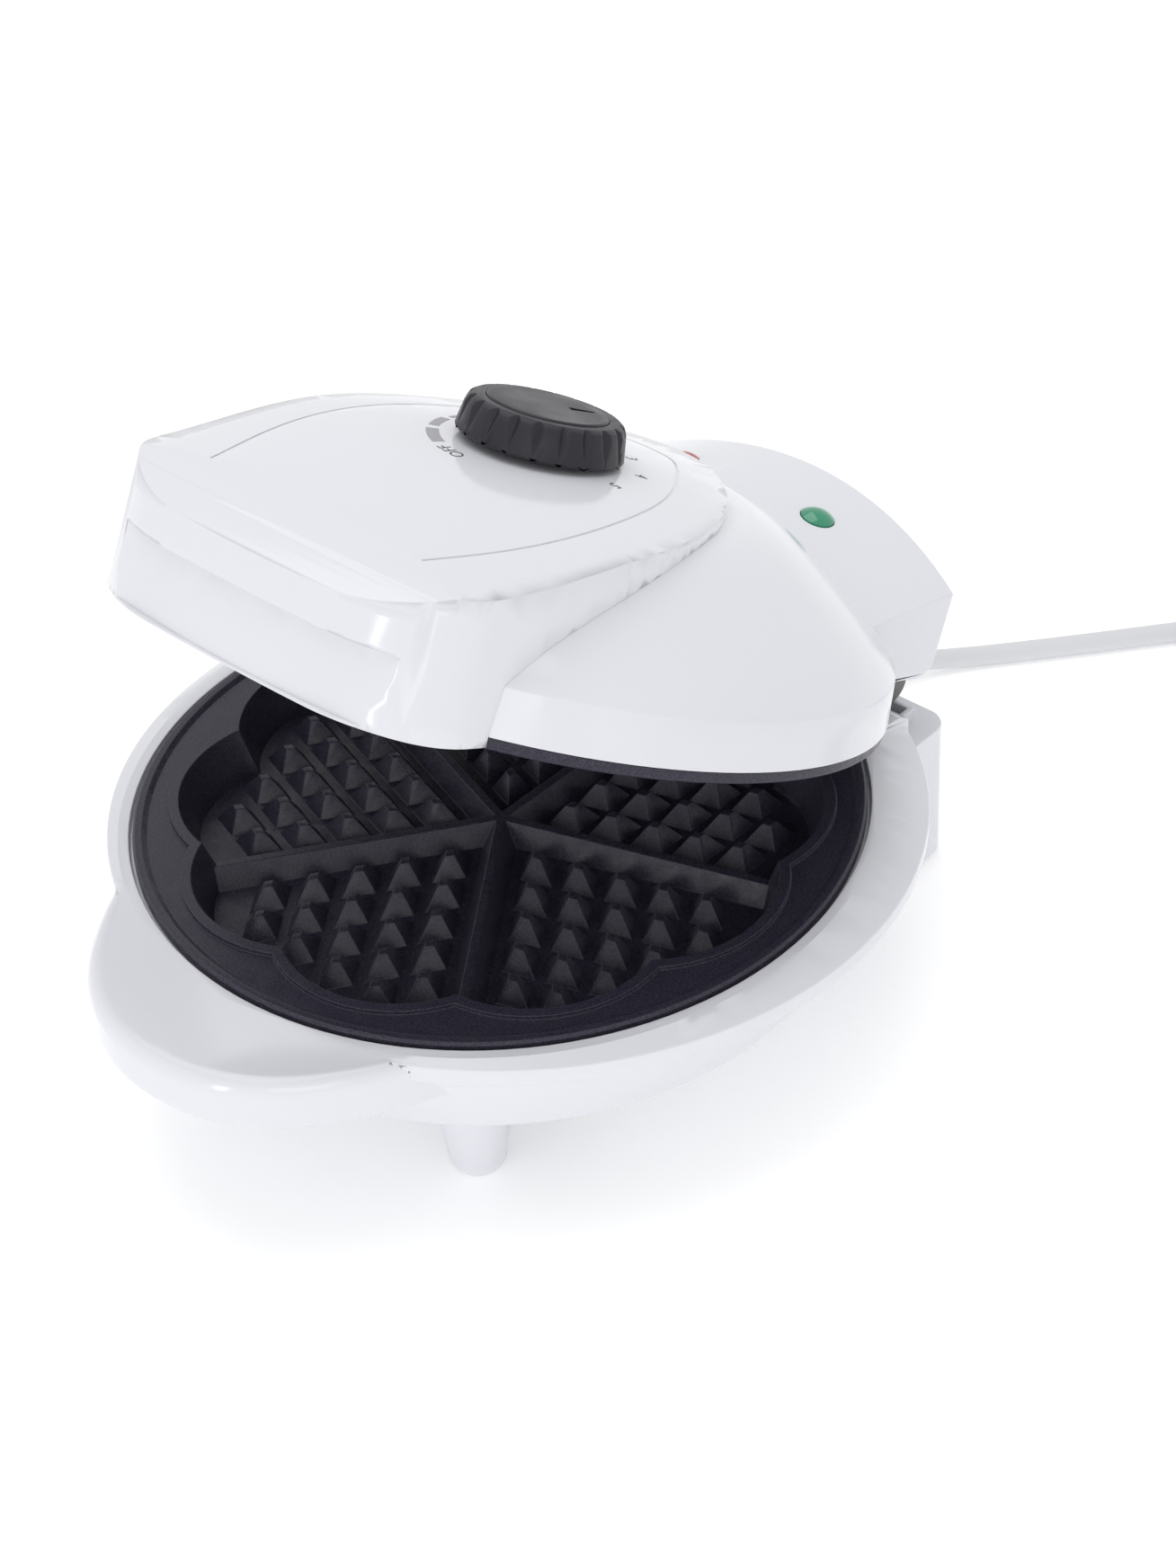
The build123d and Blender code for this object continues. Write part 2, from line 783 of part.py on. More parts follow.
with BuildPart() as cord_clamp:
    with BuildSketch(Plane((0, clamp_y, 0), x_dir=(1, 0, 0), z_dir=(0, -1, 0))):
        with Locations((0, (cover_top + cord_exit_height + cord_radius + 2) / 2)):
            Rectangle(4 * cord_radius + 8, cord_exit_height + cord_radius + 2 - cover_top)
        with Locations((0, cord_exit_height)):
            Circle(cord_radius + seam, mode=Mode.SUBTRACT)
    extrude(amount=clamp_width / 2, both=True)
cord_clamp.part.label = "cord_clamp"
export_step(cord_clamp.part, "parts/cord_clamp.step")

# The stretch of lead inside the block, from the strain relief to the terminal block
outward = Plane((0, block_rear_y, cord_exit_height), x_dir=(1, 0, 0), z_dir=(0, 1, 0))
relief_back = -wall - relief_flange
with BuildPart() as inner_lead:
    with BuildSketch(outward.offset(relief_back)):
        Circle(cord_radius)
    extrude(amount=terminal_y + terminal_depth / 2 - block_rear_y - relief_back)
inner_lead.part.label = "inner_lead"
export_step(inner_lead.part, "parts/inner_lead.step")

# Tapered strain relief with a flange inside the wall and a collar outside
with BuildPart() as strain_relief:
    with BuildSketch(Plane(outward.origin)):
        with BuildLine():
            Polyline(
                (0, relief_back),
                (relief_neck_radius + 2, relief_back),
                (relief_neck_radius + 2, -wall - seam),
                (relief_neck_radius, -wall - seam),
                (relief_neck_radius, seam),
                (relief_neck_radius + 1.2, seam),
                (relief_neck_radius + 1.2, 2),
                (relief_radius, 3.5),
                (cord_radius + 0.8, relief_length),
                (0, relief_length),
                close=True,
            )
        make_face()
    revolve(axis=Axis(outward.origin, outward.z_dir))
strain_relief.part.label = "strain_relief"
export_step(strain_relief.part, "parts/strain_relief.step")


def dome_form(inset):
    """The lid's round dome as a solid, drawn in by inset from the side and from above."""
    drop = 0.7 * inset
    with BuildPart() as form:
        with BuildSketch(section(lid)):
            with BuildLine():
                foot = Line((0, dome_edge), (dome_radius - inset, dome_edge))
                band = Line(foot @ 1, (dome_radius - 1.5 - inset, dome_shoulder - drop))
                flank = Spline(
                    band @ 1,
                    (dome_radius - 11.0 - inset, 25.0 - drop),
                    (dome_radius - 25.5 - inset, 35.3 - drop),
                    (dome_radius - 40.5 - inset, 44.0 - drop),
                    (dome_radius - 48.5 - inset, dome_crown - drop),
                )
                Line(flank @ 1, (0, dome_crown - drop))
                Line((0, dome_crown - drop), (0, dome_edge))
            make_face()
        revolve(axis=spindle(lid))
    return form


def hump_form(inset, bottom=0.0):
    """The arched rear cover as a solid, falling toward the front, drawn in by inset."""
    half = hump_half_width - inset
    with BuildPart() as form:
        with BuildSketch(section(on_lid(Plane((0, hump_rear_y, plate_height))))):
            with BuildLine():
                Polyline(
                    (-half, hump_edge_height - inset),
                    (-half, -20),
                    (half, -20),
                    (half, hump_edge_height - inset),
                )
                ThreePointArc(
                    (half, hump_edge_height - inset),
                    (0, hump_crown_height - inset),
                    (-half, hump_edge_height - inset),
                )
            make_face()
        run = hump_rear_y - hump_front_y
        extrude(amount=run, dir=(-lid.y_dir - hump_slope * lid.z_dir).normalized())
        with BuildSketch(lid):
            with BuildLine():
                Polyline(
                    (-half, hump_corner_y - inset),
                    (-half, hump_front_y),
                    (half, hump_front_y),
                    (half, hump_corner_y - inset),
                )
                ThreePointArc(
                    (half, hump_corner_y - inset),
                    (0, hump_rear_y - inset),
                    (-half, hump_corner_y - inset),
                )
            make_face()
        extrude(amount=hump_crown_height + 10, mode=Mode.INTERSECT)
        with BuildSketch(profile(lid)):
            with BuildLine():
                Polyline(
                    (hump_front_y, 3.2),
                    (dome_radius, 3.2),
                    (hinge_y - 6.5, 4.2),
                    (hump_rear_y - 2, 7.2),
                    (hump_rear_y + 2, 12),
                    (hump_rear_y + 2, hump_crown_height + 10),
                    (hump_front_y, hump_crown_height + 10),
                    close=True,
                )
            make_face()
        extrude(amount=hump_half_width + 1, both=True, mode=Mode.INTERSECT)
    return form


def cap_outline(inset):
    """The plan of the lid's cap, with its bowed flanks, round rear and bowed visor."""
    rear_centre_y = cap_rear_y - cap_rear_round
    rise = rear_centre_y - cap_flank_end_y
    flank_round = (cap_half_width**2 + rise**2 - cap_rear_round**2) / (2 * (cap_half_width - cap_rear_round))
    lean = atan2(rise, flank_round - cap_half_width)
    meeting = (cap_rear_round * cos(lean), rear_centre_y + cap_rear_round * sin(lean))
    with BuildSketch() as outline:
        with BuildLine():
            bow = ThreePointArc((0, visor_front_y), (14, visor_front_y + 0.15), (27, visor_front_y + 0.6))
            cheek = TangentArc(bow @ 1, (51.4, visor_front_y + 8.9), tangent=bow % 1)
            corner = TangentArc(cheek @ 1, (visor_half_width, visor_front_y + 23.1), tangent=cheek % 1)
            flank = TangentArc(corner @ 1, (cap_half_width, cap_flank_end_y), tangent=corner % 1)
            side_arc = TangentArc(flank @ 1, meeting, tangent=(0, 1))
            TangentArc(side_arc @ 1, (0, cap_rear_y), tangent=side_arc % 1)
            mirror(about=Plane.YZ)
        make_face()
        if inset:
            offset(amount=-inset, mode=Mode.REPLACE)
    return outline


def cap_form(inset, outset=0.0):
    """The raised cap as a solid: crowned top over the drafted plan, drawn in by inset."""
    spread = cap_half_width + 10
    with BuildPart() as form:
        for y, middle, edge in cap_sections:
            crown_edge = middle - (middle - edge) * (spread / cap_half_width) ** 2
            with BuildSketch(section(on_lid(Plane((0, y, plate_height))))):
                with BuildLine():
                    Polyline((spread, crown_edge - inset), (spread, -10), (-spread, -10), (-spread, crown_edge - inset))
                    ThreePointArc(
                        (-spread, crown_edge - inset), (0, middle - inset), (spread, crown_edge - inset)
                    )
                make_face()
        loft()
        with BuildSketch(lid.offset(visor_bottom)):
            add(cap_outline(inset).sketch)
        extrude(amount=70, taper=cap_draft, mode=Mode.INTERSECT)
        with BuildSketch(profile(lid)):
            drop = 1.15 * inset
            with BuildLine():
                scoop = TangentArc(
                    (scoop_start_y, scoop_height - drop),
                    (visor_front_y, scoop_front_height - drop),
                    tangent=(-1, -scoop_slope),
                )
                nose = Line(scoop @ 1, scoop @ 1 + 10 * (scoop % 1))
                Polyline(
                    nose @ 1,
                    nose @ 1 + Vector(0, 40),
                    (scoop_start_y + 15, scoop_height - drop + 15),
                    (scoop_start_y + 15, scoop_height - drop + 15 * scoop_slope),
                    scoop @ 0,
                )
            make_face()
        extrude(amount=spread, both=True, mode=Mode.SUBTRACT)
        # Finger grip: the visor's front leans in below a crease and runs out at the corners
        grip_end_y = visor_front_y + grip_depth + 5.3 + inset
        with BuildSketch(lid.offset(grip_top + inset)):
            with BuildLine():
                ThreePointArc(
                    (-grip_half_width - inset, grip_end_y),
                    (0, visor_front_y + grip_depth + 0.7 + inset),
                    (grip_half_width + inset, grip_end_y),
                )
                Polyline(
                    (grip_half_width + inset, grip_end_y),
                    (grip_half_width + inset, visor_front_y - 10),
                    (-grip_half_width - inset, visor_front_y - 10),
                    (-grip_half_width - inset, grip_end_y),
                )
            make_face()
        extrude(amount=-grip_top - inset + 1.5, taper=grip_draft, mode=Mode.SUBTRACT)
    return form


# Lid housing: dome and rear cover in one shell, with a recessed floor under the cap
with BuildPart() as upper_housing:
    add(dome_form(0).part)
    add(hump_form(0).part)
    with BuildPart(mode=Mode.PRIVATE) as lid_void:
        add(dome_form(wall).part)
        add(hump_form(wall).part)
        with BuildSketch(lid.offset(dome_edge)):
            Circle(dome_radius - wall - 1)
        extrude(amount=-dome_edge)
        with BuildSketch(lid.offset(tray_floor_height - wall)):
            add(cap_outline(tray_margin - wall).sketch)
        extrude(amount=dome_crown, mode=Mode.SUBTRACT)
    add(lid_void.part, mode=Mode.SUBTRACT)
    with BuildSketch(lid.offset(tray_floor_height)):
        add(cap_outline(tray_margin).sketch)
    extrude(amount=dome_crown, mode=Mode.SUBTRACT)
    with BuildSketch(lid.offset(tray_floor_height - wall)):
        with PolarLocations(boss_circle, screw_count, start_angle=90):
            Circle(boss_radius)
    extrude(amount=reflector_end + seam - tray_floor_height + wall)
    with BuildSketch(lid.offset(reflector_end)):
        with PolarLocations(boss_circle, screw_count, start_angle=90):
            Circle(screw_radius + 0.3)
    extrude(amount=tray_floor_height, mode=Mode.SUBTRACT)
    with BuildSketch(lid.offset(reflector_end)):
        with Locations((0, knob_y)):
            Circle(bushing_radius + seam)
    extrude(amount=tray_floor_height, mode=Mode.SUBTRACT)
    for plane in lamp_planes:
        with BuildSketch(plane.offset(-lens_stem)):
            Circle(lens_radius + seam)
        extrude(amount=2 * lens_stem, mode=Mode.SUBTRACT)
upper_housing.part.label = "upper_housing"
export_step(upper_housing.part, "parts/upper_housing.step")

# Cap with its visor: a shell open below, trimmed to sit on the dome
with BuildPart() as lid_cap:
    add(cap_form(0).part)
    add(cap_form(wall).part, mode=Mode.SUBTRACT)
    with BuildSketch(lid):
        add(cap_outline(wall).sketch)
    extrude(amount=visor_bottom + 1, mode=Mode.SUBTRACT)
    add(dome_form(-seam).part, mode=Mode.SUBTRACT)
    with BuildSketch(lid):
        Circle(dome_radius + seam)
    extrude(amount=dome_edge + seam, mode=Mode.SUBTRACT)
    with BuildSketch(lid.offset(knob_base - 10)):
        with Locations((0, knob_y)):
            Circle(shaft_radius + 0.6)
    extrude(amount=30, mode=Mode.SUBTRACT)
    # Fine line round the raised panel of the cap
    with BuildPart(mode=Mode.PRIVATE) as panel_groove:
        with BuildSketch(lid.offset(knob_base - 20)):
            with BuildLine():
                rim_line = Spline(*panel_line, tangents=((0.28, 0.96), (-1, 0)))
                mirror(rim_line, about=Plane.YZ)
            trace(line_width=panel_line_width)
        extrude(amount=30)
        add(cap_form(panel_line_depth).part, mode=Mode.SUBTRACT)
    add(panel_groove.part, mode=Mode.SUBTRACT)
lid_cap.part.label = "lid_cap"
export_step(lid_cap.part, "parts/lid_cap.step")

# Grey cover that closes the rear of the lid from below, slotted for the hinge arms
with BuildPart() as hump_cover:
    with BuildSketch(profile(lid)):
        with BuildLine():
            Polyline(
                (hinge_y - 20.5, dome_edge + 0.3),
                (hinge_y - 6.5, hump_cover_height),
                (hinge_y - 2.1, hump_cover_height + 2.9),
                (hinge_y - 2.1, hump_cover_height + 4.9),
                (hinge_y - 7.3, hump_cover_height + 2),
                (hinge_y - 20.5, dome_edge + 2.3),
                close=True,
            )
        make_face()
    extrude(amount=hump_half_width, both=True)
    add(hump_form(wall + seam).part, mode=Mode.INTERSECT)
    with BuildSketch(lid):
        Circle(seat_radius + 0.4)
        for x in (-(knuckle_inner_x + knuckle_outer_x) / 2, (knuckle_inner_x + knuckle_outer_x) / 2):
            with Locations((x, arm_start_y + 10)):
                Rectangle(knuckle_outer_x - knuckle_inner_x + 0.4, 20.4)
        with Locations((link_bend_x, hinge_y - 8.7)):
            SlotOverall(9.5, 2 * link_radius + 1.2, rotation=90)
    extrude(amount=20, mode=Mode.SUBTRACT)
hump_cover.part.label = "hump_cover"
export_step(hump_cover.part, "parts/hump_cover.step")

# Hinge arms of the lid, bored for the pins
with BuildPart() as hinge_knuckles:
    for start_x in (knuckle_inner_x, -knuckle_outer_x):
        with BuildSketch(profile(lid).offset(start_x)):
            with Locations((hinge_y, -hinge_drop)):
                Circle(knuckle_radius)
            with BuildLine():
                Polyline(
                    (hinge_y - knuckle_radius, -hinge_drop),
                    (hinge_y - knuckle_radius, 4.0),
                    (arm_start_y, 4.0),
                    (arm_start_y, 9.0),
                    (hinge_y - 5.3, 9.0),
                    (hinge_y - 4.7, 5.1),
                    (hinge_y - 2.3, 5.3),
                    (hinge_y + knuckle_radius / sqrt(2), knuckle_radius / sqrt(2) - hinge_drop),
                    (hinge_y, -hinge_drop),
                    close=True,
                )
            make_face()
        extrude(amount=knuckle_outer_x - knuckle_inner_x)
    with BuildSketch(profile(lid)):
        with Locations((hinge_y, -hinge_drop)):
            Circle(pin_radius + running_gap)
    extrude(amount=lug_inner_x + pin_length + 0.5, both=True, mode=Mode.SUBTRACT)
hinge_knuckles.part.label = "hinge_knuckles"
export_step(hinge_knuckles.part, "parts/hinge_knuckles.step")

# Thermostat on the back of the upper plate; its threaded bush passes the floor under the cap
with BuildPart() as thermostat:
    stand = on_lid(Plane((0, knob_y, plate_height)))
    with BuildSketch(stand.offset(tray_depth + seam)):
        Circle(thermostat_radius)
    extrude(amount=thermostat_height)
    with BuildSketch(stand.offset(tray_depth + thermostat_height)):
        Circle(bushing_radius)
    extrude(amount=bushing_length)
    with BuildSketch(stand.offset(tray_depth + thermostat_height - 1)):
        Circle(shaft_radius + running_gap)
    extrude(amount=bushing_length + 1, mode=Mode.SUBTRACT)
thermostat.part.label = "thermostat"
export_step(thermostat.part, "parts/thermostat.step")

with BuildPart() as thermostat_shaft:
    with BuildSketch(stand.offset(tray_depth + thermostat_height)):
        Circle(shaft_radius)
    extrude(amount=knob_base + shaft_grip - tray_depth - thermostat_height)
thermostat_shaft.part.label = "thermostat_shaft"
export_step(thermostat_shaft.part, "parts/thermostat_shaft.step")

# Knob with faceted flutes, recessed on top for the inlay
knob_plane = stand.offset(knob_base)
knob_rise = knob_top - knob_base
with BuildPart() as flute:
    with BuildSketch(Plane.XY.offset(0.6)):
        with BuildLine():
            spread = 5 * tan(radians(flute_half_angle))
            Polyline(
                (knob_radius + seam, 0),
                (knob_radius + seam + 5, spread),
                (knob_radius + seam + 5, -spread),
                close=True,
            )
        make_face()
    lean = knob_radius + seam - knob_shoulder_radius + flute_depth
    climb = Vector(-lean, 0, knob_rise - knob_shoulder_drop - 0.6).normalized()
    extrude(amount=1.5 * knob_rise, dir=climb)

with BuildPart(knob_plane) as control_knob:
    with BuildSketch(section(knob_plane)):
        with BuildLine():
            Polyline(
                (0, 0),
                (knob_radius - 0.6, 0),
                (knob_radius, 0.6),
                (knob_shoulder_radius, knob_rise - knob_shoulder_drop),
                (knob_top_radius, knob_rise - 0.8),
                (knob_top_radius - 1.4, knob_rise),
                (inlay_radius + seam, knob_rise),
                (inlay_radius + seam, knob_rise - inlay_thickness),
                (0, knob_rise - inlay_thickness),
                close=True,
            )
        make_face()
    revolve(axis=spindle(knob_plane))
    with PolarLocations(0, flutes):
        add(flute.part, mode=Mode.SUBTRACT)
    with BuildSketch(knob_plane):
        Circle(shaft_radius + running_gap)
    extrude(amount=shaft_grip + seam, mode=Mode.SUBTRACT)
control_knob.part.label = "control_knob"
export_step(control_knob.part, "parts/control_knob.step")

# Smooth disc let into the knob, with the tapered groove that points at the setting
with BuildPart(knob_plane) as knob_inlay:
    with BuildSketch(knob_plane.offset(knob_rise - inlay_thickness)):
        Circle(inlay_radius)
    extrude(amount=inlay_thickness + inlay_rise)
    chamfer(edges().filter_by(GeomType.CIRCLE).sort_by(Axis(knob_plane.origin, knob_plane.z_dir))[-1], 0.4)
    pointer = Plane(knob_plane.location * Rot(0, 0, pointer_angle) * Pos(0, 0, knob_rise + inlay_rise))
    with BuildSketch(pointer):
        with BuildLine():
            Polyline(
                (pointer_start, pointer_start_width / 2),
                (pointer_end, pointer_end_width / 2),
                (pointer_end, -pointer_end_width / 2),
                (pointer_start, -pointer_start_width / 2),
                close=True,
            )
        make_face()
    extrude(amount=-pointer_depth, mode=Mode.SUBTRACT)
knob_inlay.part.label = "knob_inlay"
export_step(knob_inlay.part, "parts/knob_inlay.step")

# Two domed lenses in the rear cover
for name, plane in zip(("lamp_red", "lamp_green"), lamp_planes):
    with BuildPart() as lens:
        with BuildSketch(section(plane)):
            with BuildLine():
                Polyline((0, lens_rise), (0, -lens_stem), (lens_radius, -lens_stem), (lens_radius, 0.3))
                TangentArc((0, lens_rise), (lens_radius, 0.3), tangent=(1, 0))
            make_face()
        revolve(axis=spindle(plane))
    lens.part.label = name
    export_step(lens.part, f"parts/{name}.step")

# Carrier behind the lenses: a sleeve round each stem, joined by a bar
bar_height = plate_height + lamp_height - sleeve_length
with BuildPart() as lamp_holder:
    for plane in lamp_planes:
        with BuildSketch(plane.offset(-sleeve_start)):
            Circle(sleeve_radius)
        extrude(amount=sleeve_start - sleeve_length)
    with BuildSketch(on_lid(Plane((0, lamp_y, bar_height)))):
        Rectangle(2 * lamp_x, 7)
    extrude(amount=3)
    for plane in lamp_planes:
        with BuildSketch(plane.offset(-sleeve_start)):
            Circle(lens_radius + seam)
        extrude(amount=sleeve_start - lens_stem - 0.3, mode=Mode.SUBTRACT)
        with BuildSketch(plane.offset(-sleeve_start)):
            Circle(bulb_radius + seam)
        extrude(amount=-2 * sleeve_length, mode=Mode.SUBTRACT)
lamp_holder.part.label = "lamp_holder"
export_step(lamp_holder.part, "parts/lamp_holder.step")

with BuildPart() as indicator_bulbs:
    for plane in lamp_planes:
        with BuildSketch(section(plane.offset(-lens_stem - 0.4))):
            with BuildLine():
                Polyline((0, 0), (0, -bulb_length), (bulb_radius, -bulb_length), (bulb_radius, -bulb_radius / 2))
                TangentArc((0, 0), (bulb_radius, -bulb_radius / 2), tangent=(1, 0))
            make_face()
        revolve(axis=spindle(plane))
indicator_bulbs.part.label = "indicator_bulbs"
export_step(indicator_bulbs.part, "parts/indicator_bulbs.step")

# The link lead crosses the hinge along its axis: one half stays with the base, the other turns with the lid
with BuildPart() as base_lead:
    with BuildLine() as path:
        FilletPolyline(
            (-0.2, hinge_y, hinge_z),
            (-link_bend_x, hinge_y, hinge_z),
            (-link_bend_x, link_foot_y, plate_height - trough_top_drop - 3),
            (-link_bend_x, link_foot_y, plate_height - trough_floor_drop - 8),
            (-terminal_pitch, terminal_y, cover_top + terminal_height + 7),
            (-terminal_pitch, terminal_y, cover_top + terminal_height - 3),
            radius=2 * link_radius,
        )
    with BuildSketch(Plane(path.line @ 0, z_dir=path.line % 0)):
        Circle(link_radius)
    sweep()
base_lead.part.label = "base_lead"
export_step(base_lead.part, "parts/base_lead.step")

with BuildPart() as lid_lead:
    with BuildLine() as path:
        FilletPolyline(
            *[
                on_lid(Plane((x, y, plate_height + z))).origin
                for x, y, z in (
                    (0.2, hinge_y, -hinge_drop),
                    (link_bend_x, hinge_y, -hinge_drop),
                    (link_bend_x, hinge_y - 12.5, 9),
                    (link_bend_x, hinge_y - 12.5, 20),
                )
            ],
            radius=2 * link_radius,
        )
    with BuildSketch(Plane(path.line @ 0, z_dir=path.line % 0)):
        Circle(link_radius)
    sweep()
lid_lead.part.label = "lid_lead"
export_step(lid_lead.part, "parts/lid_lead.step")

# Mains lead: its route from the strain relief, down to the table and on toward the coil
cord_route = [
    (0, block_rear_y + relief_length + seam, cord_exit_height),
    (0, 158, cord_exit_height),
    (3.2, 175.5, 6.5),
    (14, 192.3, cord_radius),
    (35.6, 217.3, cord_radius),
    (57, 243.5, cord_radius),
    (78.1, 268.8, cord_radius),
]


def bends(route):
    """The largest round bend at each inner point of a route that leaves a straight stretch between bends."""
    radii = []
    points = [Vector(point) for point in route]
    for before, point, after in zip(points, points[1:], points[2:]):
        run = min((point - before).length, (after - point).length)
        turn = radians((point - before).get_angle(after - point))
        radii.append(0.45 * run / tan(turn / 2))
    return radii


def length_of(path):
    """The length of a drawn path."""
    return sum(edge.length for edge in path.edges())


def lead_along(route):
    """A round lead along straight runs with tangent bends."""
    radii = bends(route)
    with BuildPart() as lead:
        with BuildLine() as path:
            FilletPolyline(*route, radius=radii)
        with BuildSketch(Plane(path.line @ 0, z_dir=path.line % 0)):
            Circle(cord_radius)
        sweep()
    print(f"lead: {length_of(path):.1f} mm long, tightest bend {min(radii):.1f} mm,",
          f"volume over section {lead.part.volume / (pi * cord_radius**2):.1f} mm")
    return lead


power_cord = lead_along(cord_route)
power_cord.part.label = "power_cord"
export_step(power_cord.part, "parts/power_cord.step")

# The lead's unseen length lies coiled in two layers, the upper one wound back out
heading = (Vector(cord_route[-1]) - Vector(cord_route[-2])).normalized()
entry_angle = degrees(atan2(heading.X, -heading.Y) + atan(coil_pitch / (2 * pi * coil_outer_radius)))
coil_entry = Vector(cord_route[-1]) + heading * 2 * cord_radius
coil_middle = coil_entry - coil_outer_radius * Vector(cos(radians(entry_angle)), sin(radians(entry_angle)))


def coil_point(turn):
    """The coil's middle line after a number of turns, clockwise from above."""
    angle = radians(entry_angle - 360 * turn)
    inward = min(turn, coil_turns - turn)
    radius = coil_outer_radius - coil_pitch * inward
    climb = min(max((turn - coil_turns / 2) / coil_climb + 0.5, 0), 1)
    rise = coil_layer * climb**2 * (3 - 2 * climb)
    return coil_middle + Vector(radius * cos(angle), radius * sin(angle), rise)


def coil_heading(turn):
    """The direction of the coil's middle line, by a small central difference."""
    return (coil_point(turn + 1e-4) - coil_point(turn - 1e-4)).normalized()


with BuildPart() as cord_coil:
    with BuildLine() as path:
        steps = round(4 * coil_turns)
        turns = [coil_turns * step / steps for step in range(steps + 1)]
        Line(coil_point(0) - (2 * cord_radius - seam) * coil_heading(0), coil_point(0))
        for here, there in zip(turns, turns[1:]):
            chord = coil_point(there) - coil_point(here)
            start_way = coil_heading(here)
            end_way = coil_heading(there)
            spread = 2 * (1 - start_way.dot(end_way))
            lean = chord.dot(start_way + end_way)
            arm = (sqrt(lean**2 + spread * chord.dot(chord)) - lean) / spread
            joint = (coil_point(here) + coil_point(there) + arm * (start_way - end_way)) * 0.5
            first = TangentArc(coil_point(here), joint, tangent=start_way)
            TangentArc(joint, coil_point(there), tangent=first % 1)
        coil_exit = coil_point(coil_turns) + 2 * cord_radius * coil_heading(coil_turns)
        Line(coil_point(coil_turns), coil_exit)
    with BuildSketch(Plane(path.line @ 0, z_dir=path.line % 0)):
        Circle(cord_radius)
    sweep()
cord_coil.part.label = "cord_coil"
export_step(cord_coil.part, "parts/cord_coil.step")

# The least gap of the coil to itself, between points more than half a turn apart
samples = [(0.02 * step, coil_point(0.02 * step)) for step in range(round(50 * coil_turns) + 1)]
gap = min((p - q).length for s, p in samples for t, q in samples if t - s > 0.5) - 2 * cord_radius
print(f"coil: {length_of(path):.1f} mm long, least gap to itself {gap:.2f} mm,",
      f"volume over section {cord_coil.part.volume / (pi * cord_radius**2):.1f} mm")

# From the coil the lead comes down outside it, then rises to the plug, which lies on its rim
plug_length = plug_relief_length + plug_body_length
tilt_reach = plug_run + plug_length - plug_rim
tilt = atan2(plug_face_radius, tilt_reach) - asin(
    cord_radius / sqrt(tilt_reach**2 + plug_face_radius**2)
)
plug_way = Vector(0, -cos(tilt), sin(tilt))
tail_low = [(164.5, 244.7, 5.4), (169.5, 225.5, cord_radius), (171, 207, cord_radius)]
tail_end = Vector(tail_low[-1]) + plug_run * plug_way
tail_route = [
    tuple(coil_exit + seam * coil_heading(coil_turns)),
    tuple(coil_exit + tail_lead * coil_heading(coil_turns)),
    *tail_low,
    tuple(tail_end),
]
cord_tail = lead_along(tail_route)
cord_tail.part.label = "cord_tail"
export_step(cord_tail.part, "parts/cord_tail.step")

# Round mains plug with its moulded relief, and its two pins
plug_plane = Plane(tail_end, x_dir=(1, 0, 0), z_dir=plug_way)
with BuildPart() as plug:
    with BuildSketch(section(plug_plane)):
        with BuildLine():
            Polyline(
                (0, seam),
                (cord_radius + 1, seam),
                (plug_neck_radius, plug_relief_length),
                (plug_grip_radius - 1, plug_relief_length + 3),
                (plug_grip_radius, plug_relief_length + 16),
                (plug_face_radius - 2.5, plug_length - 2 * plug_rim),
                (plug_face_radius, plug_length - plug_rim),
                (plug_face_radius, plug_length - 0.8),
                (plug_face_radius - 0.8, plug_length),
                (0, plug_length),
                close=True,
            )
        make_face()
    revolve(axis=spindle(plug_plane))
    with BuildSketch(plug_plane.offset(plug_length)):
        with Locations((-plug_pin_spacing / 2, 0), (plug_pin_spacing / 2, 0)):
            Circle(plug_pin_radius)
    extrude(amount=-plug_pin_root, mode=Mode.SUBTRACT)
plug.part.label = "plug"
export_step(plug.part, "parts/plug.step")

with BuildPart() as plug_pins:
    with BuildSketch(plug_plane.offset(plug_length - plug_pin_root)):
        with Locations((-plug_pin_spacing / 2, 0), (plug_pin_spacing / 2, 0)):
            Circle(plug_pin_radius)
    extrude(amount=plug_pin_root + plug_pin_length)
    tips = edges().filter_by(GeomType.CIRCLE).group_by(Axis(plug_plane.origin, plug_way))[-1]
    fillet(tips, plug_pin_radius * 0.6)
plug_pins.part.label = "plug_pins"
export_step(plug_pins.part, "parts/plug_pins.step")
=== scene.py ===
"""Looks of the heart waffle maker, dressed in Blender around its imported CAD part.

Metres, +Z up, the table at Z = 0, the front lobe toward -Y and the hinge toward +Y.
"""
import json
from math import atan, atan2, cos, pi, radians, sin

import bmesh
import bpy
from mathutils import Matrix, Vector
from mathutils.bvhtree import BVHTree

